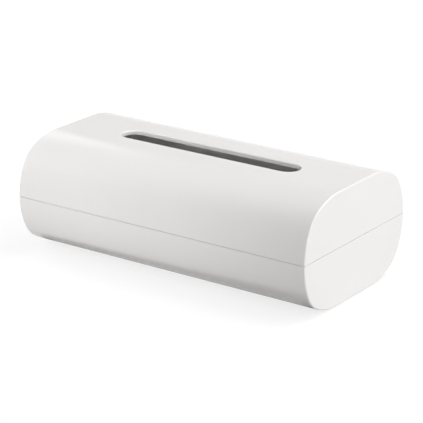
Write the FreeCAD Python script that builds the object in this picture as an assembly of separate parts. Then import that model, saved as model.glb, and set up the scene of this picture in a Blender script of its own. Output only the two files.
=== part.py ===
"""Tissue box holder: a long rounded box moulded as two shells that meet in a fine seam at mid height.

The lower shell holds the flat carton of tissues. The upper shell drops over a low lip that stands
up inside the seam, and has a long slot with round ends for drawing the tissues. Four soft feet
sit in shallow pockets in the underside.

Frame: millimetres, +Z up, the origin on the table under the middle of the body.
+X runs along the body and its slot, and -Y is the front.
"""
import FreeCAD, Part
import math
import os

# Body, without the feet
BODY_LENGTH = 265.0
BODY_WIDTH = 141.0
BODY_HEIGHT = 89.4
WALL = 3.5

# Section of the body: a slow side arc, a tighter corner arc and a slow crown arc that runs into a flat
FLAT_WIDTH = 47.0
CORNER_RADIUS = 29.0
SIDE_TURN_DEG = 27.5
CROWN_TURN_DEG = 24.0

# Rounding of the long edge between the section and the two end faces, outside and inside
END_EDGE_RADIUS = 1.1
INNER_EDGE_RADIUS = 1.5

# Seam, and the lip of the base inside it
SEAM_HEIGHT = 45.2
SEAM_GAP = 0.3
LIP_HEIGHT = 4.0
LIP_THICKNESS = 1.3
LIP_SETBACK = 0.3
LIP_CLEARANCE = 0.25
LIP_CORNER_RADIUS = 1.0
LIP_LEAD_IN = 0.4

# Slot in the flat of the cover, measured between its upright walls
SLOT_LENGTH = 164.0
SLOT_WIDTH = 20.0
SLOT_RIM_RADIUS = 1.2

# Soft feet and their pockets
FOOT_DIAMETER = 11.0
FOOT_STANDS_PROUD = 0.8
FOOT_POCKET_DEPTH = 0.9
FOOT_POCKET_CLEARANCE = 0.2
FOOT_EDGE_CHAMFER = 0.4
FOOT_TO_END = 30.0
FOOT_TO_FLAT_EDGE = 9.0

# Cutting blocks run past what they cut by this much
CUT_MARGIN = 10.0
TOLERANCE = 1e-4

UNDERSIDE = FOOT_STANDS_PROUD
MIDDLE = UNDERSIDE + BODY_HEIGHT / 2
TOP = UNDERSIDE + BODY_HEIGHT
SEAM = UNDERSIDE + SEAM_HEIGHT
LIP_TOP = SEAM + LIP_HEIGHT

SIDE_TURN = math.radians(SIDE_TURN_DEG)
CROWN_START = math.radians(90.0 - CROWN_TURN_DEG)


def section_radii():
    """Side and crown radii that let the three tangent arcs span from the flat to the widest line.

    Across: side (1 - cos a) + corner (cos a - cos b) + crown cos b = (width - flat) / 2
    Up:     side sin a + corner (sin b - sin a) + crown (1 - sin b) = height / 2
    where a is the turn of the side arc and b is the angle at which the crown arc starts.
    """
    across_side = 1.0 - math.cos(SIDE_TURN)
    across_crown = math.cos(CROWN_START)
    up_side = math.sin(SIDE_TURN)
    up_crown = 1.0 - math.sin(CROWN_START)
    across = (BODY_WIDTH - FLAT_WIDTH) / 2 - CORNER_RADIUS * (math.cos(SIDE_TURN) - across_crown)
    up = BODY_HEIGHT / 2 - CORNER_RADIUS * (math.sin(CROWN_START) - up_side)
    determinant = across_side * up_crown - across_crown * up_side
    side = (across * up_crown - across_crown * up) / determinant
    crown = (across_side * up - up_side * across) / determinant
    return side, crown


SIDE_RADIUS, CROWN_RADIUS = section_radii()
SIDE_CENTRE_Y = BODY_WIDTH / 2 - SIDE_RADIUS


def half_section_arcs():
    """Arcs of the right side and the top, anticlockwise: centre y, centre z, radius, start and end angle.

    Heights count from the middle of the section. The other half is this one turned by 180 degrees.
    """
    corner_y = SIDE_CENTRE_Y + (SIDE_RADIUS - CORNER_RADIUS) * math.cos(SIDE_TURN)
    corner_z = (SIDE_RADIUS - CORNER_RADIUS) * math.sin(SIDE_TURN)
    crown_y = FLAT_WIDTH / 2
    crown_z = BODY_HEIGHT / 2 - CROWN_RADIUS
    upright = math.pi / 2
    return [
        (SIDE_CENTRE_Y, 0.0, SIDE_RADIUS, -SIDE_TURN, SIDE_TURN),
        (corner_y, corner_z, CORNER_RADIUS, SIDE_TURN, CROWN_START),
        (crown_y, crown_z, CROWN_RADIUS, CROWN_START, upright),
        (-crown_y, crown_z, CROWN_RADIUS, upright, math.pi - CROWN_START),
        (-corner_y, corner_z, CORNER_RADIUS, math.pi - CROWN_START, math.pi - SIDE_TURN),
    ]


def section_point(x, centre_y, centre_z, radius, angle, half_turn):
    """Point at an angle on a section arc, turned by half_turn about the middle of the section."""
    y = centre_y + radius * math.cos(angle)
    z = centre_z + radius * math.sin(angle)
    return FreeCAD.Vector(
        x,
        y * math.cos(half_turn) - z * math.sin(half_turn),
        MIDDLE + y * math.sin(half_turn) + z * math.cos(half_turn),
    )


def section_wire(x, inset):
    """The whole section in the plane X = x, moved in by inset all round."""
    edges = []
    for half_turn in (0.0, math.pi):
        previous_end = None
        for centre_y, centre_z, radius, start, end in half_section_arcs():
            angles = (start, (start + end) / 2, end)
            points = [
                section_point(x, centre_y, centre_z, radius - inset, angle, half_turn)
                for angle in angles
            ]
            if previous_end and previous_end.distanceToPoint(points[0]) > TOLERANCE:
                edges.append(Part.LineSegment(previous_end, points[0]).toShape())
            edges.append(Part.Arc(*points).toShape())
            previous_end = points[-1]
    return Part.Wire(edges)


def rounded_bar(inset, edge_radius):
    """The body's form moved in by inset, as a solid, with the edges of its two end faces rounded."""
    half_length = BODY_LENGTH / 2 - inset
    face = Part.Face(section_wire(-half_length, inset))
    bar = face.extrude(FreeCAD.Vector(2 * half_length, 0, 0))
    end_edges = [edge for edge in bar.Edges if lies_in_end_plane(edge, half_length)]
    return bar.makeFillet(edge_radius, end_edges)


def lies_in_end_plane(edge, half_length):
    """True if the whole edge lies in one of the planes X = half_length and X = -half_length."""
    box = edge.BoundBox
    return box.XLength < TOLERANCE and abs(abs(box.Center.x) - half_length) < TOLERANCE


def slab(low, high):
    """Block wider than the body, between two heights."""
    length = BODY_LENGTH + 2 * CUT_MARGIN
    width = BODY_WIDTH + 2 * CUT_MARGIN
    corner = FreeCAD.Vector(-length / 2, -width / 2, low)
    return Part.makeBox(length, width, high - low, corner)


def half_width_at_seam(inset):
    """Half the width of the body's form, moved in by inset, at the height of the seam."""
    above_middle = SEAM - MIDDLE
    return SIDE_CENTRE_Y + math.sqrt((SIDE_RADIUS - inset) ** 2 - above_middle ** 2)


def rounded_plate(half_length, half_width, corner_radius, low, high):
    """Upright block with a rectangular plan and round corners."""
    corner = FreeCAD.Vector(-half_length, -half_width, low)
    block = Part.makeBox(2 * half_length, 2 * half_width, high - low, corner)
    upright_edges = [edge for edge in block.Edges if edge.BoundBox.ZLength > TOLERANCE]
    return block.makeFillet(corner_radius, upright_edges)


def lip_plate(grow, low, high):
    """Plate inside the outer face of the lip, grown by a distance all round."""
    inset = WALL - LIP_SETBACK - LIP_THICKNESS - grow
    return rounded_plate(
        BODY_LENGTH / 2 - inset,
        half_width_at_seam(inset),
        LIP_CORNER_RADIUS + grow,
        low,
        high,
    )


def make_lip():
    """Low wall that stands on the rim of the base, with a lead-in along its outer top edge."""
    plate = lip_plate(0.0, SEAM, LIP_TOP)
    top_edges = [edge for edge in plate.Edges if edge.BoundBox.ZMin > LIP_TOP - TOLERANCE]
    plate = plate.makeChamfer(LIP_LEAD_IN, top_edges)
    inset = WALL - LIP_SETBACK
    hole = rounded_plate(
        BODY_LENGTH / 2 - inset,
        half_width_at_seam(inset),
        INNER_EDGE_RADIUS,
        SEAM - CUT_MARGIN,
        LIP_TOP + CUT_MARGIN,
    )
    return plate.cut(hole)


def make_slot():
    """Upright cutter for the slot: two straight sides joined by half circles."""
    half_width = SLOT_WIDTH / 2
    half_straight = SLOT_LENGTH / 2 - half_width
    edges = []
    for side in (1, -1):
        start = FreeCAD.Vector(side * half_straight, -side * half_width, SEAM)
        tip = FreeCAD.Vector(side * (half_straight + half_width), 0, SEAM)
        end = FreeCAD.Vector(side * half_straight, side * half_width, SEAM)
        next_start = FreeCAD.Vector(-side * half_straight, side * half_width, SEAM)
        edges.append(Part.Arc(start, tip, end).toShape())
        edges.append(Part.LineSegment(end, next_start).toShape())
    face = Part.Face(Part.Wire(edges))
    return face.extrude(FreeCAD.Vector(0, 0, TOP + CUT_MARGIN - SEAM))


def is_slot_rim(edge):
    """True for an edge of the slot in the cover's top face."""
    box = edge.BoundBox
    on_top = box.ZMin > TOP - TOLERANCE
    return on_top and max(abs(box.YMin), abs(box.YMax)) < SLOT_WIDTH / 2 + TOLERANCE


def foot_places():
    """Name and centre of each foot, near the ends of the flat underside."""
    along = BODY_LENGTH / 2 - FOOT_TO_END
    across = FLAT_WIDTH / 2 - FOOT_TO_FLAT_EDGE
    places = {}
    for row, y in (("front", -across), ("back", across)):
        for side, x in (("left", -along), ("right", along)):
            places[f"foot_{row}_{side}"] = (x, y)
    return places


def make_cover(shell):
    """Upper shell, with the rebate that the lip enters and the slot."""
    cover = shell.common(slab(SEAM + SEAM_GAP, TOP + CUT_MARGIN))
    cover = cover.cut(lip_plate(LIP_CLEARANCE, SEAM - CUT_MARGIN, LIP_TOP))
    cover = cover.cut(make_slot())
    rim = [edge for edge in cover.Edges if is_slot_rim(edge)]
    return cover.makeFillet(SLOT_RIM_RADIUS, rim)


def make_base(shell):
    """Lower shell, with the lip on its rim and the foot pockets in its underside."""
    base = shell.common(slab(UNDERSIDE - CUT_MARGIN, SEAM))
    base = base.fuse(make_lip()).removeSplitter()
    pocket_radius = FOOT_DIAMETER / 2 + FOOT_POCKET_CLEARANCE
    for x, y in foot_places().values():
        mouth = FreeCAD.Vector(x, y, UNDERSIDE - CUT_MARGIN)
        base = base.cut(Part.makeCylinder(pocket_radius, CUT_MARGIN + FOOT_POCKET_DEPTH, mouth))
    return base


def make_foot(x, y):
    """Flat round foot that fills its pocket's depth and stands proud of the underside."""
    height = FOOT_STANDS_PROUD + FOOT_POCKET_DEPTH
    disc = Part.makeCylinder(FOOT_DIAMETER / 2, height, FreeCAD.Vector(x, y, 0.0))
    lower_edge = [edge for edge in disc.Edges if edge.BoundBox.ZMax < TOLERANCE]
    return disc.makeChamfer(FOOT_EDGE_CHAMFER, lower_edge)


def only_solid(shape):
    """The single solid of a shape made by cutting and joining."""
    solids = shape.Solids
    if len(solids) != 1:
        raise ValueError(f"expected one solid and found {len(solids)}")
    return solids[0]


def main():
    """Build every piece and write one file for each."""
    outer = rounded_bar(0.0, END_EDGE_RADIUS)
    inner = rounded_bar(WALL, INNER_EDGE_RADIUS)
    shell = outer.cut(inner)
    pieces = {"cover": make_cover(shell), "base": make_base(shell)}
    for name, (x, y) in foot_places().items():
        pieces[name] = make_foot(x, y)
    os.makedirs("parts", exist_ok=True)
    for name, shape in pieces.items():
        only_solid(shape).exportStep(f"parts/{name}.step")
    print(f"side radius {SIDE_RADIUS:.2f} mm, crown radius {CROWN_RADIUS:.2f} mm")


main()
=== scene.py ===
"""Tissue box holder: the looks of a white moulded holder for a flat carton of tissues.

Two shells meet in a fine seam at mid height. Each is one closed surface worked out from the sizes
of the body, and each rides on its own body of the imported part. Four rubber feet ride with the base.
Everything is in metres, +Z up, +X along the slot, with -Y at the front and the origin on the table.
"""

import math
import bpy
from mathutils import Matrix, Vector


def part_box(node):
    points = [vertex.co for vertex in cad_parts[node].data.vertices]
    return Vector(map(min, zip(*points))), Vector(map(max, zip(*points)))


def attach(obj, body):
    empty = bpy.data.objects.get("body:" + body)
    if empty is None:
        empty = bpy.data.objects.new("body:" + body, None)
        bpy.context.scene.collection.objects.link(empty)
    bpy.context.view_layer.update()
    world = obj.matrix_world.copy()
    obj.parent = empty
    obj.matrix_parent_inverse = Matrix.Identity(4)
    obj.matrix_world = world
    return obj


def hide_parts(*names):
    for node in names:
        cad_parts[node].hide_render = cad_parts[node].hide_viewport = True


bl_info = {
    "name": "Tissue Box Holder",
    "version": (1, 0, 0),
    "blender": (4, 5, 0),
    "location": "3D View > Sidebar > Holder",
    "description": "Builds a two-part moulded holder for a carton of tissues on its packed part",
    "category": "Add Mesh",
}

import bmesh
import bpy
import numpy as np
from bpy.props import FloatProperty, FloatVectorProperty, PointerProperty
from bpy.types import Operator, Panel, PropertyGroup
from mathutils import Matrix, Vector

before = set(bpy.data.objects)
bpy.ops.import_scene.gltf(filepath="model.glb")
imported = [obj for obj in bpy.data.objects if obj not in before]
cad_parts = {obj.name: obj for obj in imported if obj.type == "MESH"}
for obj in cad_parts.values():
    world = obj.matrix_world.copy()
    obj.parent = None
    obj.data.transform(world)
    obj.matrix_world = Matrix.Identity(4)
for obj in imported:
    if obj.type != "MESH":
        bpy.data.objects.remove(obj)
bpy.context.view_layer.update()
COVER_LOW, COVER_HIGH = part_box("cover")
BASE_LOW, BASE_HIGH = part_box("base")
FOOT_NODES = ("foot_front_left", "foot_front_right", "foot_back_left", "foot_back_right")
FOOT_BOXES = {node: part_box(node) for node in FOOT_NODES}
FOOT_LOW, FOOT_HIGH = FOOT_BOXES["foot_front_left"]
HOLLOW = "hollow"
DOWN = (0.0, 0.0, -1.0)
WHITE = (1.0, 1.0, 1.0, 1.0)
QUARTER = math.pi / 2
MERGE_DISTANCE = 2e-6

# Faces along each part of the shells
SIDE_STEPS = 16
CORNER_STEPS = 26
CROWN_STEPS = 14
FLAT_STEPS = 20
END_STEPS = 2 * CROWN_STEPS + FLAT_STEPS
EDGE_STEPS = 7
RIM_STEPS = 4
CAP_STEPS = 14
SLOT_STEPS = 36
SLOT_TO_EDGE_STEPS = 4
FOOT_CELL_STEPS = 8
FOOT_TO_CELL_STEPS = 3
BETWEEN_FEET_STEPS = 4
FOOT_ROUND_STEPS = 48
SOLE_SHARES = (0.0, 0.5, 0.9)

# Size of the patches of each noise, and how many finer layers it has
DRIFT_NOISE = (0.09, 3.0)
GLOSS_NOISE = (0.03, 5.0, 0.6)
RIPPLE_NOISE = (0.04, 1.0)
GRAIN_NOISE = (0.0006, 2.0)
RUBBER_TONE_NOISE = (0.003, 4.0)
RUBBER_GLOSS_NOISE = (0.002, 4.0)
RUBBER_GRAIN_NOISE = (0.0003, 3.0)

# Floor, and the distances from the holder between which the camera sees its white grow
FLOOR_REACH = 6.0
FLOOR_ROUGHNESS = 0.9
LIFT_NEAR_REACH = 0.3
LIFT_FAR_REACH = 1.2

# Painted shade under the holder, seen only in reflections of the floor: an oblong a little
# smaller than the body
SHADE_INSET = 0.0035
SHADE_BLUR = 0.0015
SHADE_DEEP = 0.006
SHADE_INNER = 0.018

# Broad panels, and the place, aim and size of the two narrow lamps
PANEL_SIZE = 1.5
PANEL_CLEARANCE = 0.01
PANEL_CONE = math.pi
SPOT = ((-0.2, -0.9, 0.25), (-0.12, -0.07, 0.05), (0.4, 0.4))
LOW_SPOT = ((-0.2, -0.9, 0.08), (-0.12, -0.07, 0.045), (0.4, 0.14))
SPOT_CONE = math.radians(30.0)

SENSOR_WIDTH = 36.0
CLIP_NEAR, CLIP_FAR = 0.05, 50.0


# ---------------------------------------------------------------- sizes and colours


def length(name, text, default, low=0.0, high=1.0):
    """A length in metres that a user may change."""
    return FloatProperty(
        name=name, description=text, default=default, min=low, max=high, precision=5, unit="LENGTH"
    )


def angle(name, text, degrees):
    """An angle that a user may change."""
    turn = math.radians(degrees)
    return FloatProperty(name=name, description=text, default=turn, subtype="ANGLE")


def share(name, text, default, high=1.0):
    """A plain number from nought to a limit."""
    return FloatProperty(
        name=name, description=text, default=default, min=0.0, max=high, precision=4
    )


def colour(name, text, default):
    """A linear colour."""
    return FloatVectorProperty(
        name=name, description=text, default=default, subtype="COLOR", size=3, min=0.0, max=1.0
    )


class BodySizes(PropertyGroup):
    """Sizes of the whole body, and of the arcs that make its section."""

    long: length("Length", "From end face to end face", COVER_HIGH.x - COVER_LOW.x)
    wide: length("Width", "Across the two long sides", BASE_HIGH.y - BASE_LOW.y)
    underside: length("Underside", "Height of the flat underside over the table", BASE_LOW.z)
    top: length("Top", "Height of the flat top over the table", COVER_HIGH.z)
    flat: length("Flat width", "Width of the flat strip in the top and in the underside", 0.047)
    corner: length("Corner radius", "Radius of the tight arc between side and crown", 0.029)
    side_turn: angle("Side turn", "How far the slow side arc turns above the middle", 27.5)
    crown_turn: angle("Crown turn", "How far the slow crown arc turns before the flat", 24.0)
    wall: length("Wall", "Thickness of both shells", 0.0035)
    end_edge: length("End edge radius", "Rounding round each end face", 0.0011)
    inner_edge: length("Inner edge radius", "Rounding of the hollow's ends", 0.0015)


class SeamSizes(PropertyGroup):
    """Sizes of the seam and of the lip inside it."""

    cover_rim: length("Cover rim", "Height of the cover's rim over the table", COVER_LOW.z)
    gap: length("Gap", "Open seam between cover and base", 0.0003)
    rim_edge: length("Rim edge radius", "Rounding of the outer edge of each rim", 0.0002)
    lip_top: length("Lip top", "Height of the lip over the table", BASE_HIGH.z)
    lip_thick: length("Lip thickness", "Thickness of the lip", 0.0013)
    lip_setback: length("Lip setback", "Lip to the inner face of the wall", 0.0003)
    lip_clearance: length("Lip clearance", "Lip to the rebate of the cover", 0.00025)
    lip_corner: length("Lip corner radius", "Rounding of the lip's corners in plan", 0.001)
    lead_in: length("Lead-in", "Chamfer of the lip's outer top edge", 0.0004)


class SlotSizes(PropertyGroup):
    """Sizes of the slot in the cover."""

    long: length("Length", "Slot from end to end between its upright walls", 0.164)
    wide: length("Width", "Slot from side to side between its upright walls", 0.02)
    rim: length("Rim radius", "Rounding of the upper edge", 0.0012)
    under_edge: length("Lower edge radius", "Rounding of the lower edge", 0.0001)


class FootSizes(PropertyGroup):
    """Sizes of the feet and their pockets."""

    across: length("Diameter", "Width of each round foot", FOOT_HIGH.x - FOOT_LOW.x)
    tall: length("Height", "Height of each foot, pocket included", FOOT_HIGH.z - FOOT_LOW.z)
    clearance: length("Pocket clearance", "Foot to the wall of its pocket", 0.0002)
    edge: length("Edge radius", "Rounding of the foot's lower edge", 0.0004)
    cell: length("Cell", "Half width of the patch of underside round each pocket", 0.009)


class ShellFinish(PropertyGroup):
    """Finish of the glossy white plastic."""

    light: colour("Light tone", "Plastic where its tone is lightest", (0.892, 0.876, 0.865))
    deep: colour("Deep tone", "Plastic where its tone is deepest", (0.872, 0.855, 0.843))
    # The hollow's tones are a painted lightening of the same plastic, standing in for light that the
    # dim inside lacks
    inner_painted_light: colour("Inner light tone", "Plastic of the hollow, lightest", (0.96, 0.95, 0.94))
    inner_painted_deep: colour("Inner deep tone", "Plastic of the hollow, deepest", (0.95, 0.938, 0.928))
    smooth: share("Lowest roughness", "Roughness where the surface is most polished", 0.17)
    dull: share("Highest roughness", "Roughness where handling has dulled it", 0.27)
    unpolished: share("Unpolished roughness", "Roughness that the hollow has on top", 0.3)
    refraction: share("Index of refraction", "Of the plastic", 1.5, 3.0)
    ripple: length("Ripple depth", "Depth of the slow ripple left by moulding", 0.000012)
    grain: length("Grain depth", "Depth of the fine grain of the tool", 0.000004)


class RubberFinish(PropertyGroup):
    """Finish of the soft feet."""

    light: colour("Light tone", "Rubber where its tone is lightest", (0.56, 0.56, 0.55))
    deep: colour("Deep tone", "Rubber where its tone is deepest", (0.48, 0.48, 0.47))
    smooth: share("Lowest roughness", "Roughness where the rubber is rubbed", 0.55)
    dull: share("Highest roughness", "Roughness elsewhere", 0.75)
    grain: length("Grain depth", "Depth of the matt grain", 0.00002)


class StudioSettings(PropertyGroup):
    """Camera, lamps and floor."""

    azimuth: angle("Azimuth", "Camera's turn from the front towards the right end", 35.107)
    elevation: angle("Elevation", "Camera's height angle over the table", 19.554)
    roll: angle("Roll", "Camera's turn about its own line of sight", 0.086)
    distance: length("Distance", "Camera to the point that it looks at", 1.473, 0.1, 10.0)
    lens: share("Lens", "Focal length in millimetres for a 36 mm sensor", 160.11, 400.0)
    aim_right: length("Aim right", "Point looked at, right of the origin in the view", 0.002, -1.0)
    aim_up: length("Aim up", "Point looked at, above the origin in the view", 0.038, -1.0)
    floor: colour("Floor", "Colour of the floor", (0.3, 0.3, 0.3))
    lift_near: share("Near lift", "White that the camera sees on the floor by the holder", 0.75)
    lift_far: share("Far lift", "White that the camera sees on the floor far from the holder", 1.0)
    # Reflections of the floor carry painted shade: the mirrored lift on the open floor, none along
    # the holder's outline, and the under lift deep beneath it
    lift_mirrored: share("Mirrored lift", "White that reflections see on the open floor", 1.0)
    lift_under: share("Lift under", "White that reflections see under the holder", 0.46)
    shade_turn: angle("Shade turn", "Turn of the shade under the holder, seen from above", 3.0)
    overhead: share("Overhead panel", "Watts of the panel over the back right", 21.9, 100.0)
    right: share("Right panel", "Watts of the wide panel beyond the right end", 26.1, 100.0)
    front: share("Front panel", "Watts of the panel behind the camera", 4.1, 100.0)
    left: share("Left panel", "Watts of the wide panel beyond the left end", 18.8, 100.0)
    spot: share("Spot", "Watts of the narrow lamp on the left part of the front", 0.19, 10.0)
    low_spot: share("Low spot", "Watts of the flat lamp just over the floor", 0.036, 10.0)


# ---------------------------------------------------------------- surfaces


def steps(count):
    """Evenly spaced shares from 0 to 1, one more than count."""
    return np.linspace(0.0, 1.0, count + 1)


def spread(stops, counts):
    """Points between neighbouring stops, evenly spaced, with counts faces in each stretch."""
    pieces = [np.linspace(a, b, n + 1)[:-1] for a, b, n in zip(stops[:-1], stops[1:], counts)]
    return np.hstack(pieces + [[stops[-1]]])


def section_arcs(body):
    """Centre across, centre up and radius of the side, corner and crown arcs.

    Heights count from the middle. The three arcs are tangent and span from the widest line to the
    edge of the flat, so
    across: side (1 - cos a) + corner (cos a - cos b) + crown cos b = (width - flat) / 2
    up:     side sin a + corner (sin b - sin a) + crown (1 - sin b) = height / 2
    where a is the turn of the side arc and b the angle at which the crown arc starts.
    """
    a, b = body.side_turn, QUARTER - body.crown_turn
    height = body.top - body.underside
    terms = [[1 - math.cos(a), math.cos(b)], [math.sin(a), 1 - math.sin(b)]]
    spans = [
        (body.wide - body.flat) / 2 - body.corner * (math.cos(a) - math.cos(b)),
        height / 2 - body.corner * (math.sin(b) - math.sin(a)),
    ]
    side, crown = np.linalg.solve(terms, spans)
    side_y = body.wide / 2 - side
    apart = side - body.corner
    return np.array(
        [
            [side_y, 0.0, side],
            [side_y + apart * math.cos(a), apart * math.sin(a), body.corner],
            [body.flat / 2, height / 2 - crown, crown],
        ]
    )


def half_section(body, inset, start):
    """Half of the section, from the height start above the middle to the edge of the flat.

    Each point is its arc's centre plus (radius - inset) times the cosine and sine of its angle, and
    the angle runs evenly along each arc. inset holds one value for each row of the surface.
    Gives the distance across, the height and the angle, as rows by columns.
    """
    arcs = section_arcs(body)
    turn, crown_start = body.side_turn, QUARTER - body.crown_turn
    inset = np.atleast_1d(inset)[:, None]
    first = np.arcsin(start / (arcs[0, 2] - inset))
    rest = spread([turn, crown_start, QUARTER], [CORNER_STEPS, CROWN_STEPS])
    rest = np.broadcast_to(rest, (len(inset), len(rest)))
    angles = np.hstack([first + (turn - first) * steps(SIDE_STEPS)[:-1], rest])
    arc = np.repeat(arcs, [SIDE_STEPS, CORNER_STEPS, CROWN_STEPS + 1], axis=0)
    radius = arc[:, 2] - inset
    return arc[:, 0] + radius * np.cos(angles), arc[:, 1] + radius * np.sin(angles), angles


def half_width(body, inset, height):
    """Half of the body's width at a height from the middle, moved in by inset.

    It is the side arc's centre plus the root of (radius - inset)^2 - height^2.
    """
    side_y, _, side = section_arcs(body)[0]
    return side_y + np.sqrt((side - inset) ** 2 - height**2)


def stations(half_length, edge, stops, counts):
    """Places along X for a form of half_length whose ends have an edge of that radius.

    Between the edges they follow the stops. Round an edge the lean t runs over a quarter turn with
    x = half_length - edge + edge sin t. Gives x and the lean at each station.
    """
    flat = spread([-(half_length - edge), *stops, half_length - edge], counts)
    lean = QUARTER * steps(EDGE_STEPS)[1:]
    beyond = half_length - edge + edge * np.sin(lean)
    x = np.hstack([-beyond[::-1], flat, beyond])
    leans = np.hstack([-lean[::-1], np.zeros(len(flat)), lean])
    return x, leans


def grid(x, y, z, nx, ny, nz):
    """One patch: the points and normals of a grid, from arrays that spread to rows by columns."""
    axes = np.stack(np.broadcast_arrays(x, y, z, nx, ny, nz), axis=-1).astype(float)
    return axes[..., :3], axes[..., 3:]


def turned(patch):
    """The patch turned by half a turn about Z."""
    return tuple(part * np.array([-1.0, -1.0, 1.0]) for part in patch)


def facing_back(patch):
    """The same patch with its normals turned round, for the hollow side of a wall."""
    return patch[0], -patch[1]


def side_skin(body, half_length, edge, inset, start, stops, counts):
    """One long side from the height start up to the flat.

    The half section is carried along the stations. Round the end edge it moves in by
    edge (1 - cos t) as the lean t grows.
    """
    x, lean = stations(half_length, edge, stops, counts)
    across, up, angles = half_section(body, inset + edge * (1 - np.cos(lean)), start)
    x, lean = x[:, None], lean[:, None]
    level = np.cos(lean)
    return grid(x, across, up, np.sin(lean), level * np.cos(angles), level * np.sin(angles))


def flat_edge(body, half_length, edge, inset, columns):
    """Rounded edge between the flat and the end face at +X.

    It is a quarter circle carried across the flat.
    """
    lean = (QUARTER * steps(EDGE_STEPS))[:, None]
    x = half_length - edge + edge * np.sin(lean)
    top = (body.top - body.underside) / 2 - inset - edge * (1 - np.cos(lean))
    return grid(x, columns[None, :], top, np.sin(lean), 0.0, np.cos(lean))


def end_face(body, half_length, edge, inset, start, columns):
    """Flat end face at +X, blended between its four sides.

    Over shares u across and v up: (1 - v) bottom + v top + (1 - u) left + u right, less the same
    blend of the four corners. The top follows crown, flat and crown, and the sides follow the side
    and corner arcs. The bottom is straight, so it falls out against its own corners.
    """
    across, up, _ = half_section(body, inset + edge, start)
    across, up = across[0], up[0]
    crown = SIDE_STEPS + CORNER_STEPS
    flat_up = np.full(len(columns) - 2, up[-1])
    top_y = np.hstack([across[crown:], columns[::-1][1:-1], -across[crown:][::-1]])
    top_z = np.hstack([up[crown:], flat_up, up[crown:][::-1]])
    side_y, side_z = across[: crown + 1, None], up[: crown + 1, None]
    u = steps(len(top_y) - 1)[None, :]
    v = steps(crown)[:, None]
    swing = 1 - 2 * u
    y = v * top_y + swing * (side_y - v * side_y[-1])
    z = v * top_z + side_z - v * side_z[-1]
    return grid(half_length, y, z, 1.0, 0.0, 0.0)


def ring(x, y, lean, end_steps=END_STEPS):
    """Closed outline in plan: the side at +Y, the straight end at +X, then both half a turn on.

    Gives along, across and the outward direction, each as one row of points.
    """
    end = 1 - 2 * steps(end_steps)[1:-1]
    half = (
        np.hstack([x, np.full(len(end), x[-1])]),
        np.hstack([y, y[-1] * end]),
        np.hstack([np.sin(lean), np.ones(len(end))]),
        np.hstack([np.cos(lean), np.zeros(len(end))]),
    )
    return [np.hstack([part, -part, part[:1]]) for part in half]


def body_ring(body, half_length, edge, inset, height, stops, counts):
    """Outline in plan of the body's form at a height from the middle, moved in by inset."""
    x, lean = stations(half_length, edge, stops, counts)
    y = half_width(body, inset + edge * (1 - np.cos(lean)), height)
    return ring(x, y, lean)


def plate_ring(body, inset, corner, seam, stops, counts):
    """Outline in plan of an upright plate as wide as the body at the seam, moved in by inset."""
    x, lean = stations(body.long / 2 - inset, corner, stops, counts)
    y = half_width(body, inset, seam) - corner * (1 - np.cos(lean))
    return ring(x, y, lean)


def rim_round(body, rim, radius, stops, counts):
    """Rounded outer edge of a rim, a quarter circle of that radius carried round the body.

    Over the quarter turn t the outline moves in by radius (1 - cos t), and its height above the rim
    falls from radius to nothing as radius (1 - sin t).
    """
    rows = []
    for turn in QUARTER * steps(RIM_STEPS):
        moved = radius * (1 - math.cos(turn))
        height = rim + radius * (1 - math.sin(turn))
        x, y, out_x, out_y = body_ring(
            body, body.long / 2 - moved, body.end_edge - moved, moved, height, stops, counts
        )
        level = math.cos(turn)
        rows.append(grid(x, y, height, out_x * level, out_y * level, -math.sin(turn)))
    return tuple(np.stack(part) for part in zip(*rows))


def between(lower, upper, low, high, normal):
    """Straight surface from one outline to the next.

    normal is the normal of a level surface, or +1 or -1 for an upright one that faces out or in.
    """
    x, y, out_x, out_y = (np.stack(pair) for pair in zip(lower, upper))
    z = np.array([[low], [high]])
    if isinstance(normal, tuple):
        return grid(x, y, z, *normal)
    return grid(x, y, z, normal * out_x, normal * out_y, 0.0)


def half_shell(body, seam, rim, inner_start, stops, counts, columns):
    """Outer and inner skins, end edges, end faces and the rounded rim of one shell.

    Heights count from the middle of the body, away from the other shell, and each patch comes in
    the pair that half a turn about Z gives.
    """
    skins = []
    layers = (
        (body.long / 2, body.end_edge, 0.0, rim + seam.rim_edge, False),
        (body.long / 2 - body.wall, body.inner_edge, body.wall, inner_start, True),
    )
    for half_length, edge, inset, start, hollow in layers:
        made = [
            side_skin(body, half_length, edge, inset, start, stops, counts),
            flat_edge(body, half_length, edge, inset, columns),
            end_face(body, half_length, edge, inset, start, columns),
        ]
        skins += [facing_back(patch) if hollow else patch for patch in made]
    skins += [turned(patch) for patch in skins]
    return skins + [rim_round(body, rim, seam.rim_edge, stops, counts)]


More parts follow.
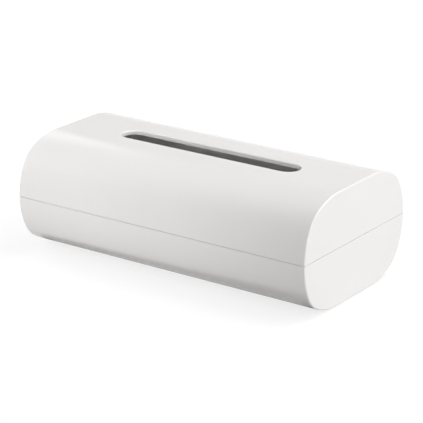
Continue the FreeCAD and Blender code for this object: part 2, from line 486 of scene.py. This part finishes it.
def slot_patch(body, slot, stops, counts):
    """Flat top with the slot, the slot's rim and walls, and the flat ceiling of the hollow.

    Round the slot each point has a centre on its long axis and a direction, and stands a reach from
    that centre. Over the rounded rim the reach is half the width plus rim (1 - sin t), where the
    height falls by rim (1 - cos t). Down the wall it is half the width. The outer rows go to the
    edge of the flat.
    """
    half_wide = slot.wide / 2
    straight = (slot.long - slot.wide) / 2
    top = (body.top - body.underside) / 2
    cap = math.pi / (2 * CAP_STEPS + FLAT_STEPS)
    side_turns = cap * np.arange(CAP_STEPS, 0, -1)
    line = spread([-straight, straight], [SLOT_STEPS])
    end_turns = cap * np.arange(1, CAP_STEPS + FLAT_STEPS)
    centre = np.hstack([np.full(CAP_STEPS, -straight), line, np.full(len(end_turns), straight)])
    turn = np.hstack([QUARTER + side_turns, np.full(len(line), QUARTER), QUARTER - end_turns])
    centre = np.hstack([centre, -centre, centre[:1]])
    turn = np.hstack([turn, turn - math.pi, turn[:1]])
    out_x, out_y = np.cos(turn), np.sin(turn)

    def outline(half_length):
        x = spread([-half_length, *stops, half_length], counts)
        return ring(x, np.full(len(x), body.flat / 2), np.zeros(len(x)), FLAT_STEPS)[:2]

    def flat(half_length, reach, height, facing):
        x, y = outline(half_length)
        rows = steps(SLOT_TO_EDGE_STEPS)[:, None]
        x, y = x + rows * (centre + reach * out_x - x), y + rows * (reach * out_y - y)
        return grid(x, y, height, 0.0, 0.0, facing)

    def wall(reach, height, lean):
        reach, height, lean = (np.asarray(part)[:, None] for part in (reach, height, lean))
        x, y, level = centre + reach * out_x, reach * out_y, -np.cos(lean)
        return grid(x, y, height, level * out_x, level * out_y, np.sin(lean))

    t = QUARTER * steps(EDGE_STEPS)
    ceiling = top - body.wall
    upper = half_wide + slot.rim * (1 - np.sin(t)), top - slot.rim * (1 - np.cos(t)), QUARTER - t
    lower = (
        half_wide + slot.under_edge * (1 - np.cos(t)),
        ceiling + slot.under_edge * (1 - np.sin(t)),
        -t,
    )
    outer_half = body.long / 2 - body.end_edge
    inner_half = body.long / 2 - body.wall - body.inner_edge
    return [
        flat(outer_half, half_wide + slot.rim, top, 1.0),
        wall(*upper),
        wall([half_wide, half_wide], [upper[1][-1], lower[1][0]], [0.0, 0.0]),
        wall(*lower),
        flat(inner_half, half_wide + slot.under_edge, ceiling, -1.0),
    ]


def revolved(reach, height, lean, centre, count):
    """A profile of reaches and heights turned about an upright axis through the centre.

    At each angle a the point is x = centre + reach cos a and y = centre + reach sin a.
    """
    around = (2 * math.pi * steps(count))[None, :] + QUARTER / 2
    reach, height, lean = (np.asarray(part, float)[:, None] for part in (reach, height, lean))
    level = np.cos(lean)
    return grid(
        centre[0] + reach * np.cos(around),
        centre[1] + reach * np.sin(around),
        height,
        level * np.cos(around),
        level * np.sin(around),
        np.sin(lean),
    )


def pocket_patches(feet, centre, level, depth):
    """Square of underside round a foot, the pocket's wall and its ceiling.

    The square's outline is at the angle of each point of the pocket's circle, taken out to the
    square, so four stretches of evenly spaced points meet the neighbouring faces.
    """
    reach = feet.across / 2 + feet.clearance
    side = feet.cell * (1 - 2 * steps(FOOT_CELL_STEPS)[:-1])
    full = np.full(len(side), feet.cell)
    square_x = np.hstack([side, -full, -side, full, side[:1]])
    square_y = np.hstack([full, side, -full, -side, full[:1]])
    count = 4 * FOOT_CELL_STEPS
    around = QUARTER / 2 + 2 * math.pi * steps(count)
    rows = steps(FOOT_TO_CELL_STEPS)[:, None]
    x = centre[0] + square_x + rows * (reach * np.cos(around) - square_x)
    y = centre[1] + square_y + rows * (reach * np.sin(around) - square_y)
    wall = revolved([reach, reach], [level, level - depth], [0.0, 0.0], centre, count)
    ceiling = revolved([reach, reach / 2, 0.0], [level - depth] * 3, [QUARTER] * 3, centre, count)
    return [grid(x, y, level, 0.0, 0.0, 1.0), facing_back(wall), ceiling]


# ---------------------------------------------------------------- meshes


def grid_faces(rows, columns, first):
    """Four-sided faces of a grid of points, numbered from first."""
    at = first + np.arange(rows * columns).reshape(rows, columns)
    return np.stack([at[:-1, :-1], at[:-1, 1:], at[1:, 1:], at[1:, :-1]], axis=-1)


def build_piece(name, patches, holes=()):
    """One closed mesh from patches of points and normals.

    The patches are merged where they meet, and the faces are turned outwards. Each face corner
    then takes the normal that its own patch has there, so that round surfaces and sharp edges both
    shade true.
    holes gives, by patch number, which faces of that patch are kept.
    """
    points, normals, faces, first = [], [], [], 0
    for number, (place, normal) in enumerate(patches):
        rows, columns = place.shape[:2]
        made = grid_faces(rows, columns, first)
        made = made[holes[number]] if number in holes else made.reshape(-1, 4)
        points.append(place.reshape(-1, 3))
        normals.append(normal.reshape(-1, 3))
        faces.append(made)
        first += rows * columns
    points, normals, faces = np.vstack(points), np.vstack(normals), np.vstack(faces)
    mesh = bpy.data.meshes.new(name)
    mesh.from_pydata(points, [], faces.tolist())
    kept = mesh.attributes.new("patch_normal", "FLOAT_VECTOR", "CORNER")
    kept.data.foreach_set("vector", normals[faces.ravel()].astype(np.float32).ravel())
    work = bmesh.new()
    work.from_mesh(mesh)
    bmesh.ops.remove_doubles(work, verts=work.verts, dist=MERGE_DISTANCE)
    loose = [vert for vert in work.verts if not vert.link_faces]
    bmesh.ops.delete(work, geom=loose, context="VERTS")
    bmesh.ops.recalc_face_normals(work, faces=work.faces)
    open_edges = sum(not edge.is_manifold for edge in work.edges)
    if open_edges:
        raise RuntimeError(f"{name} has {open_edges} edges that aren't closed")
    if work.calc_volume(signed=True) < 0:
        bmesh.ops.reverse_faces(work, faces=work.faces)
    work.to_mesh(mesh)
    work.free()
    mesh.shade_smooth()
    kept = mesh.attributes["patch_normal"]
    true_normals = np.empty(3 * len(mesh.loops), np.float32)
    kept.data.foreach_get("vector", true_normals)
    mesh.attributes.remove(kept)
    mesh.normals_split_custom_set(true_normals.reshape(-1, 3).tolist())
    piece = bpy.data.objects.new(name, mesh)
    bpy.context.scene.collection.objects.link(piece)
    return piece


def mark_hollow(piece, body, seam):
    """A face attribute that is one all over the hollow of a shell, and nothing elsewhere.

    A face belongs to the hollow where its normal points back at the middle of the body, and where
    it lies between the inner faces of the wall. The rebate and lip beside the seam are left out.
    """
    mesh = piece.data
    centres, normals = np.empty((2, 3 * len(mesh.polygons)), np.float32)
    mesh.polygons.foreach_get("center", centres)
    mesh.polygons.foreach_get("normal", normals)
    arms = centres.reshape(-1, 3) - np.array([0.0, 0.0, middle_of(body)])
    backwards = (arms * normals.reshape(-1, 3)).sum(axis=1) < 0
    heights = centres[2::3]

    def lies(low, high):
        return (heights > low - MERGE_DISTANCE) & (heights < high + MERGE_DISTANCE)

    in_hollow = lies(body.underside + body.wall, body.top - body.wall)
    beside_seam = lies(seam.cover_rim - seam.gap, seam.lip_top)
    hollow = mesh.attributes.new(HOLLOW, "FLOAT", "FACE")
    hollow.data.foreach_set("value", (backwards & in_hollow & ~beside_seam).astype(np.float32))


def placed(patches, middle, facing):
    """Patches set at their heights over the table, counted up or down from the middle."""
    scale, lift = np.array([1.0, 1.0, facing]), np.array([0.0, 0.0, middle])
    return [(place * scale + lift, normal * scale) for place, normal in patches]


def middle_of(body):
    """Height of the middle of the section over the table."""
    return (body.top + body.underside) / 2


def cover_patches(body, seam, slot):
    """Every patch of the cover: skins, slot, rim, the rebate for the lip and the rebate's ceiling.

    Heights count upwards from the middle.
    """
    middle = middle_of(body)
    straight = (slot.long - slot.wide) / 2
    stops, counts = [-straight, straight], [CAP_STEPS, SLOT_STEPS, CAP_STEPS]
    columns = body.flat * (steps(FLAT_STEPS) - 0.5)
    rim = seam.cover_rim - middle
    lip_top = seam.lip_top - middle
    lip_seam = rim - seam.gap
    inset = body.wall - seam.lip_setback - seam.lip_thick - seam.lip_clearance
    edge = seam.rim_edge
    inner_half = body.long / 2 - body.wall
    face = body_ring(body, body.long / 2 - edge, body.end_edge - edge, edge, rim, stops, counts)
    rebate = plate_ring(body, inset, seam.lip_corner + seam.lip_clearance, lip_seam, stops, counts)
    hollow = body_ring(body, inner_half, body.inner_edge, body.wall, lip_top, stops, counts)
    patches = half_shell(body, seam, rim, lip_top, stops, counts, columns)
    patches += slot_patch(body, slot, stops, counts)
    patches += [
        between(face, rebate, rim, rim, DOWN),
        between(rebate, rebate, rim, lip_top, -1.0),
        between(rebate, hollow, lip_top, lip_top, DOWN),
    ]
    return placed(patches, middle, 1.0)


def base_patches(body, seam, feet):
    """Every patch of the base, with which faces of its underside are kept round the foot pockets.

    Heights count downwards from the middle, so a level face that looks up has the normal DOWN here.
    """
    middle = middle_of(body)
    places = foot_places()
    foot_x = max(x for x, _ in places.values())
    cell = feet.cell
    stops = [-foot_x - cell, -foot_x + cell, foot_x - cell, foot_x + cell]
    counts = [CAP_STEPS, FOOT_CELL_STEPS, SLOT_STEPS, FOOT_CELL_STEPS, CAP_STEPS]
    half_flat = body.flat / 2
    columns = spread(
        [-half_flat, -half_flat + 2 * cell, half_flat - 2 * cell, half_flat],
        [FOOT_CELL_STEPS, BETWEEN_FEET_STEPS, FOOT_CELL_STEPS],
    )
    rim = middle - (seam.cover_rim - seam.gap)
    lip_top = middle - seam.lip_top
    lip_low = lip_top + seam.lead_in
    outer = body.wall - seam.lip_setback - seam.lip_thick
    inner = body.wall - seam.lip_setback
    edge = seam.rim_edge
    face = body_ring(body, body.long / 2 - edge, body.end_edge - edge, edge, rim, stops, counts)
    lip = plate_ring(body, outer, seam.lip_corner, rim, stops, counts)
    lip_edge = plate_ring(
        body, outer + seam.lead_in, seam.lip_corner - seam.lead_in, rim, stops, counts
    )
    lip_hole = plate_ring(body, inner, body.inner_edge, rim, stops, counts)
    inner_half = body.long / 2 - body.wall
    hollow = body_ring(body, inner_half, body.inner_edge, body.wall, rim, stops, counts)
    chamfer, level_out = between(lip, lip_edge, lip_low, lip_top, 1.0)
    slope = math.sqrt(0.5)
    patches = half_shell(body, seam, rim, rim, stops, counts, columns)
    patches += [
        between(face, lip, rim, rim, DOWN),
        between(lip, lip, rim, lip_low, 1.0),
        (chamfer, slope * (level_out + np.array(DOWN))),
        between(lip_edge, lip_hole, lip_top, lip_top, DOWN),
        between(lip_hole, lip_hole, lip_top, rim, -1.0),
        between(lip_hole, hollow, rim, rim, DOWN),
    ]
    level = middle - body.underside
    depth = feet.tall - body.underside
    floor_half = inner_half - body.inner_edge
    floor_x = spread([-floor_half, *stops, floor_half], counts)[:, None]
    patches.append(grid(floor_x, columns[None, :], level - body.wall, 0.0, 0.0, -1.0))
    outer_half = body.long / 2 - body.end_edge
    under_x = spread([-outer_half, *stops, outer_half], counts)[:, None]
    kept = np.ones((len(under_x) - 1, len(columns) - 1), bool)
    across = [slice(0, FOOT_CELL_STEPS), slice(-FOOT_CELL_STEPS, None)]
    for first in (CAP_STEPS, CAP_STEPS + FOOT_CELL_STEPS + SLOT_STEPS):
        for column in across:
            kept[first : first + FOOT_CELL_STEPS, column] = False
    holes = {len(patches): kept}
    patches.append(grid(under_x, columns[None, :], level, 0.0, 0.0, 1.0))
    for place in places.values():
        patches += pocket_patches(feet, place, level, depth)
    return placed(patches, middle, -1.0), holes


def foot_places():
    """Centre of each foot in plan, by the name of its node."""
    return {
        node: ((low.x + high.x) / 2, (low.y + high.y) / 2)
        for node, (low, high) in FOOT_BOXES.items()
    }


def foot_patch(feet, centre):
    """A round foot: its profile goes from the middle of its sole round a soft edge and up."""
    radius, edge = feet.across / 2, feet.edge
    t = QUARTER * steps(EDGE_STEPS)
    sole = np.array(SOLE_SHARES) * (radius - edge)
    reach = np.hstack([sole, radius - edge + edge * np.sin(t)])
    height = np.hstack([np.zeros(len(sole)), edge * (1 - np.cos(t))])
    lean = np.hstack([np.full(len(sole), -QUARTER), t - QUARTER])
    lower = revolved(reach, height, lean, centre, FOOT_ROUND_STEPS)
    wall = revolved([radius, radius], [edge, feet.tall], [0.0, 0.0], centre, FOOT_ROUND_STEPS)
    across = [radius, radius / 2, 0.0]
    top = revolved(across, [feet.tall] * 3, [QUARTER] * 3, centre, FOOT_ROUND_STEPS)
    return [lower, wall, top]


# ---------------------------------------------------------------- materials


def feed(tree, socket, value):
    """Link a socket to the output of another node, or give it a plain value."""
    if isinstance(value, bpy.types.NodeSocket):
        tree.links.new(value, socket)
    else:
        socket.default_value = value


def node_of(tree, kind, **inputs):
    """A node with some of its input sockets fed."""
    node = tree.nodes.new(kind)
    for name, value in inputs.items():
        feed(tree, node.inputs[name.replace("_", " ")], value)
    return node


def math_node(tree, operation, first, second):
    """A sum, product or the like of two values."""
    node = tree.nodes.new("ShaderNodeMath")
    node.operation = operation
    for socket, value in zip(node.inputs, (first, second)):
        feed(tree, socket, value)
    return node.outputs["Value"]


def noise(tree, place, size, detail, rough=0.5):
    """Noise whose patches are about size metres across, on the object's own coordinates."""
    scale = 1.0 / size
    node = node_of(
        tree, "ShaderNodeTexNoise", Vector=place, Scale=scale, Detail=detail, Roughness=rough
    )
    return node.outputs["Fac"]


def mapped(tree, value, low, high, start=0.3, stop=0.7):
    """A value stretched so that it runs from low at start to high at stop.

    Most of a noise lies between 0.3 and 0.7.
    """
    node = node_of(
        tree,
        "ShaderNodeMapRange",
        Value=value,
        From_Min=start,
        From_Max=stop,
        To_Min=low,
        To_Max=high,
    )
    return node.outputs["Result"]


def mixed(tree, part, first, second):
    """A colour between two, where part runs from nothing for the first to one for the second."""
    node = tree.nodes.new("ShaderNodeMix")
    node.data_type = "RGBA"
    for name, value in (("Factor", part), ("A", first), ("B", second)):
        feed(tree, node.inputs[name], value)
    return node.outputs["Result"]


def mottled(tree, value, deep, light):
    """A tone that wanders between a deep and a light one with a noise."""
    return mixed(tree, mapped(tree, value, 0.0, 1.0), (*deep, 1.0), (*light, 1.0))


def bumped(tree, value, depth, below=None):
    """A bump of that depth in metres, over another bump if one is given."""
    node = node_of(tree, "ShaderNodeBump", Strength=1.0, Distance=depth, Height=value)
    if below is not None:
        feed(tree, node.inputs["Normal"], below)
    return node.outputs["Normal"]


def new_material(name):
    """An empty material with one shader: its node tree, its shader and the object coordinates."""
    material = bpy.data.materials.new(name)
    material.use_nodes = True
    tree = material.node_tree
    tree.nodes.clear()
    shader = tree.nodes.new("ShaderNodeBsdfPrincipled")
    output = tree.nodes.new("ShaderNodeOutputMaterial")
    tree.links.new(shader.outputs["BSDF"], output.inputs["Surface"])
    place = tree.nodes.new("ShaderNodeTexCoord").outputs["Object"]
    return material, tree, shader, place


def plastic(finish):
    """Glossy white plastic with a slow drift of tone and patches of duller gloss.

    It also has the slow ripple of moulding and the fine grain of the tool. The hollow is left
    unpolished, so it is duller, and its tone is painted lighter, standing in for light that the
    dim inside lacks.
    """
    known = bpy.data.materials.get("gloss_white_plastic")
    if known:
        return known
    material, tree, shader, place = new_material("gloss_white_plastic")
    marked = tree.nodes.new("ShaderNodeAttribute")
    marked.attribute_name = HOLLOW
    hollow = marked.outputs["Fac"]
    drift = noise(tree, place, *DRIFT_NOISE)
    outside = mottled(tree, drift, finish.deep, finish.light)
    # Painted light: the hollow takes the lighter tones, to brighten the dim inside seen through the
    # slot
    inside = mottled(tree, drift, finish.inner_painted_deep, finish.inner_painted_light)
    gloss = mapped(tree, noise(tree, place, *GLOSS_NOISE), finish.smooth, finish.dull)
    duller = math_node(tree, "MULTIPLY", hollow, finish.unpolished)
    ripple = bumped(tree, noise(tree, place, *RIPPLE_NOISE), finish.ripple)
    grain = bumped(tree, noise(tree, place, *GRAIN_NOISE), finish.grain, ripple)
    feed(tree, shader.inputs["IOR"], finish.refraction)
    feed(tree, shader.inputs["Base Color"], mixed(tree, hollow, outside, inside))
    feed(tree, shader.inputs["Roughness"], math_node(tree, "ADD", gloss, duller))
    feed(tree, shader.inputs["Normal"], grain)
    return material


def rubber(finish):
    """Soft grey rubber: mottled tone and a fine matt grain."""
    known = bpy.data.materials.get("matt_grey_rubber")
    if known:
        return known
    material, tree, shader, place = new_material("matt_grey_rubber")
    tone = mottled(tree, noise(tree, place, *RUBBER_TONE_NOISE), finish.deep, finish.light)
    gloss = mapped(tree, noise(tree, place, *RUBBER_GLOSS_NOISE), finish.smooth, finish.dull)
    grain = bumped(tree, noise(tree, place, *RUBBER_GRAIN_NOISE), finish.grain)
    feed(tree, shader.inputs["Base Color"], tone)
    feed(tree, shader.inputs["Roughness"], gloss)
    feed(tree, shader.inputs["Normal"], grain)
    return material


# ---------------------------------------------------------------- operators


def settings():
    """The scene's sizes and colours."""
    return bpy.context.scene.tissue_holder


class HOLDER_OT_cover(Operator):
    """Build the cover with its slot, and let it ride on the cover body"""

    bl_idname = "tissue_holder.build_cover"
    bl_label = "Build Cover"

    def execute(self, context):
        held = settings()
        piece = build_piece("cover_shell", cover_patches(held.body, held.seam, held.slot))
        mark_hollow(piece, held.body, held.seam)
        piece.data.materials.append(plastic(held.shell))
        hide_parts("cover")
        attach(piece, "cover")
        return {"FINISHED"}


class HOLDER_OT_base(Operator):
    """Build the base with its lip and foot pockets, and let it ride on the base body"""

    bl_idname = "tissue_holder.build_base"
    bl_label = "Build Base"

    def execute(self, context):
        held = settings()
        patches, holes = base_patches(held.body, held.seam, held.feet)
        piece = build_piece("base_shell", patches, holes)
        mark_hollow(piece, held.body, held.seam)
        piece.data.materials.append(plastic(held.shell))
        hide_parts("base")
        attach(piece, "base")
        return {"FINISHED"}


class HOLDER_OT_feet(Operator):
    """Build the four rubber feet, and let them ride with the base"""

    bl_idname = "tissue_holder.build_feet"
    bl_label = "Build Feet"

    def execute(self, context):
        held = settings()
        for node, place in foot_places().items():
            piece = build_piece(node.replace("foot", "foot_pad"), foot_patch(held.feet, place))
            piece.data.materials.append(rubber(held.rubber))
            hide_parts(node)
            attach(piece, "base")
        return {"FINISHED"}


def new_panel(name, place, aim, size, power, cone=PANEL_CONE):
    """An oblong of light aimed at a point and unseen by the camera, with its power in watts."""
    lamp = bpy.data.lights.new(name, "AREA")
    lamp.shape = "RECTANGLE"
    lamp.size, lamp.size_y = size
    lamp.energy = power
    lamp.spread = cone
    holder = bpy.data.objects.new(name, lamp)
    holder.location = place
    holder.rotation_euler = (Vector(aim) - Vector(place)).to_track_quat("-Z", "Y").to_euler()
    holder.visible_camera = False
    bpy.context.scene.collection.objects.link(holder)


class HOLDER_OT_stage(Operator):
    """Build the floor, the sky, the lamps and the camera"""

    bl_idname = "tissue_holder.build_stage"
    bl_label = "Build Stage"

    def execute(self, context):
        studio = settings().studio
        build_floor(studio)
        build_sky()
        build_lamps(studio)
        build_camera(studio)
        context.scene.view_settings.view_transform = "Standard"
        return {"FINISHED"}


def build_floor(studio):
    """A wide floor that keeps the holder's shadow, and that camera and reflections see as white."""
    mesh = bpy.data.meshes.new("floor")
    corners = FLOOR_REACH * np.array([(-1, -1, 0), (1, -1, 0), (1, 1, 0), (-1, 1, 0)])
    mesh.from_pydata(corners.tolist(), [], [(0, 1, 2, 3)])
    floor = bpy.data.objects.new("floor", mesh)
    bpy.context.scene.collection.objects.link(floor)
    material = bpy.data.materials.new("floor_paper")
    material.use_nodes = True
    tree = material.node_tree
    sockets = tree.nodes["Principled BSDF"].inputs
    feed(tree, sockets["Base Color"], (*studio.floor, 1.0))
    feed(tree, sockets["Roughness"], FLOOR_ROUGHNESS)
    feed(tree, sockets["Emission Color"], WHITE)
    feed(tree, sockets["Emission Strength"], floor_lift(tree, studio))
    mesh.materials.append(material)


def floor_lift(tree, studio):
    """White added to the floor.

    For the camera it grows with the distance. Reflections see one strength on the open floor, none
    in a painted shade along the holder's outline, and another strength deep under the holder.
    """
    place = tree.nodes.new("ShaderNodeTexCoord").outputs["Object"]
    away = tree.nodes.new("ShaderNodeVectorMath")
    away.operation = "LENGTH"
    tree.links.new(place, away.inputs[0])
    distance, near, far = away.outputs["Value"], studio.lift_near, studio.lift_far
    seen = mapped(tree, distance, near, far, LIFT_NEAR_REACH, LIFT_FAR_REACH)
    past = past_shade(tree, place, studio.shade_turn)
    beyond = mapped(tree, past, 0.0, studio.lift_mirrored, -SHADE_BLUR, SHADE_BLUR)
    under = mapped(tree, past, 0.0, studio.lift_under, -SHADE_DEEP, -SHADE_INNER)
    path = tree.nodes.new("ShaderNodeLightPath")
    camera = math_node(tree, "MULTIPLY", path.outputs["Is Camera Ray"], seen)
    # Painted shade in reflections: a dark band along the holder's outline between the two lifts
    around = math_node(tree, "MAXIMUM", beyond, under)
    mirrored = math_node(tree, "MULTIPLY", mirrored_ray(tree, path), around)
    return math_node(tree, "MAXIMUM", camera, mirrored)


def mirrored_ray(tree, path):
    """One for the rays that gloss or glass sends on, and otherwise nothing."""
    glossy, through = path.outputs["Is Glossy Ray"], path.outputs["Is Transmission Ray"]
    return math_node(tree, "MAXIMUM", glossy, through)


def past_shade(tree, place, turn):
    """Distance past the edge of the painted shade under the holder, below zero inside it."""
    swung = node_of(tree, "ShaderNodeVectorRotate", Vector=place, Angle=turn)
    swung.rotation_type = "Z_AXIS"
    beside = tree.nodes.new("ShaderNodeVectorMath")
    beside.operation = "ABSOLUTE"
    tree.links.new(swung.outputs["Vector"], beside.inputs[0])
    parts = node_of(tree, "ShaderNodeSeparateXYZ", Vector=beside.outputs["Vector"])
    past_end = math_node(tree, "SUBTRACT", parts.outputs["X"], COVER_HIGH.x - SHADE_INSET)
    past_side = math_node(tree, "SUBTRACT", parts.outputs["Y"], COVER_HIGH.y - SHADE_INSET)
    return math_node(tree, "MAXIMUM", past_end, past_side)


def build_sky():
    """A white surround that the camera and reflections see, and that lights nothing."""
    world = bpy.data.worlds.new("studio_sky")
    bpy.context.scene.world = world
    world.use_nodes = True
    tree = world.node_tree
    sockets = tree.nodes["Background"].inputs
    path = tree.nodes.new("ShaderNodeLightPath")
    seen = math_node(tree, "MAXIMUM", path.outputs["Is Camera Ray"], mirrored_ray(tree, path))
    feed(tree, sockets["Color"], WHITE)
    feed(tree, sockets["Strength"], seen)


def build_lamps(studio):
    """Broad panels round the holder and over it, and two narrow lamps on the left of its front."""
    half, reach = PANEL_SIZE / 2, PANEL_SIZE
    level = half + PANEL_CLEARANCE
    square, wide = (PANEL_SIZE, PANEL_SIZE), (2 * PANEL_SIZE, PANEL_SIZE)
    new_panel("panel_overhead", (half, half, reach), (half, half, 0.0), square, studio.overhead)
    new_panel("panel_right", (reach, 0.0, level), (0.0, 0.0, level), wide, studio.right)
    new_panel("panel_front", (half, -reach, level), (half, 0.0, level), square, studio.front)
    new_panel("panel_left", (-reach, 0.0, level), (0.0, 0.0, level), wide, studio.left)
    new_panel("lamp_spot", *SPOT, studio.spot, SPOT_CONE)
    new_panel("lamp_low_spot", *LOW_SPOT, studio.low_spot, SPOT_CONE)


def build_camera(studio):
    """The camera, at its own azimuth and elevation round a point near the holder's middle."""
    a, e, roll = studio.azimuth, studio.elevation, studio.roll
    back = Vector((math.sin(a) * math.cos(e), -math.cos(a) * math.cos(e), math.sin(e)))
    level = Vector((0.0, 0.0, 1.0)).cross(back).normalized()
    upright = back.cross(level)
    right = level * math.cos(roll) + upright * math.sin(roll)
    up = upright * math.cos(roll) - level * math.sin(roll)
    place = right * studio.aim_right + up * studio.aim_up + back * studio.distance
    camera = bpy.data.cameras.new("camera")
    camera.sensor_width = SENSOR_WIDTH
    camera.lens = studio.lens
    camera.clip_start, camera.clip_end = CLIP_NEAR, CLIP_FAR
    holder = bpy.data.objects.new("camera", camera)
    turned_to = Matrix((right, up, back)).transposed().to_4x4()
    holder.matrix_world = Matrix.Translation(place) @ turned_to
    bpy.context.scene.collection.objects.link(holder)
    bpy.context.scene.camera = holder


# ---------------------------------------------------------------- panel and registration


class HolderSettings(PropertyGroup):
    """Everything about the holder that a user may change."""

    body: PointerProperty(type=BodySizes, name="Body")
    seam: PointerProperty(type=SeamSizes, name="Seam")
    slot: PointerProperty(type=SlotSizes, name="Slot")
    feet: PointerProperty(type=FootSizes, name="Feet")
    shell: PointerProperty(type=ShellFinish, name="Shell finish")
    rubber: PointerProperty(type=RubberFinish, name="Rubber finish")
    studio: PointerProperty(type=StudioSettings, name="Studio")


class HOLDER_PT_panel(Panel):
    """Lists the holder's sizes and colours with the buttons that build it"""

    bl_idname = "HOLDER_PT_panel"
    bl_label = "Tissue Box Holder"
    bl_space_type = "VIEW_3D"
    bl_region_type = "UI"
    bl_category = "Holder"

    def draw(self, context):
        held = context.scene.tissue_holder
        for name in ("body", "seam", "slot", "feet", "shell", "rubber", "studio"):
            group = getattr(held, name)
            box = self.layout.box()
            box.label(text=held.bl_rna.properties[name].name)
            for key in group.__annotations__:
                box.prop(group, key)
        for operator in OPERATORS:
            self.layout.operator(operator.bl_idname)


OPERATORS = (HOLDER_OT_cover, HOLDER_OT_base, HOLDER_OT_feet, HOLDER_OT_stage)
GROUPS = (
    BodySizes,
    SeamSizes,
    SlotSizes,
    FootSizes,
    ShellFinish,
    RubberFinish,
    StudioSettings,
    HolderSettings,
)


def register():
    """Make the settings, the operators and the panel known."""
    for known in (*GROUPS, *OPERATORS, HOLDER_PT_panel):
        bpy.utils.register_class(known)
    bpy.types.Scene.tissue_holder = PointerProperty(type=HolderSettings)


def unregister():
    """Forget them again."""
    del bpy.types.Scene.tissue_holder
    for known in reversed((*GROUPS, *OPERATORS, HOLDER_PT_panel)):
        bpy.utils.unregister_class(known)


def main():
    """Build every piece and the stage."""
    register()
    bpy.ops.tissue_holder.build_cover()
    bpy.ops.tissue_holder.build_base()
    bpy.ops.tissue_holder.build_feet()
    bpy.ops.tissue_holder.build_stage()


if __name__ == "__main__":
    main()
